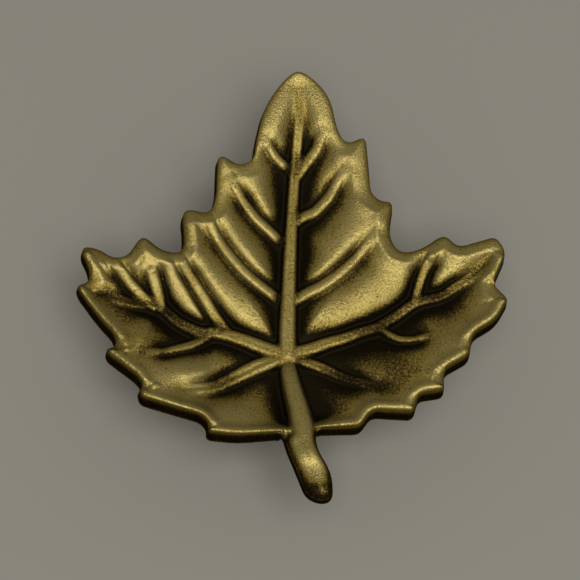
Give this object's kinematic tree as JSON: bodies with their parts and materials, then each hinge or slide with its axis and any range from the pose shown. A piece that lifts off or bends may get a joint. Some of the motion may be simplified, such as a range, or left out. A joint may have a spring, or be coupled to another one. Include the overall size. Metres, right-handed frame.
{
  "type": "cabinet knob",
  "caption": "Cabinet knob cast in one piece as a cupped, lobed leaf with raised veins and a bent stalk, on a round post behind it.",
  "frame": {"origin": "centre of the post's foot, where the knob stands on the door or drawer front", "axes": "+Z out of the door face, +Y toward the leaf's tip (the stalk points to -Y), +X to the right as seen from the front"},
  "size_m": [0.051, 0.053, 0.017],
  "materials": {
    "antique_brass": "antique brass plate, dark patina left in the hollows, high spots rubbed bright"
  },
  "bodies": {
    "root": {"leaf_knob": "antique_brass"}
  },
  "joints": []
}
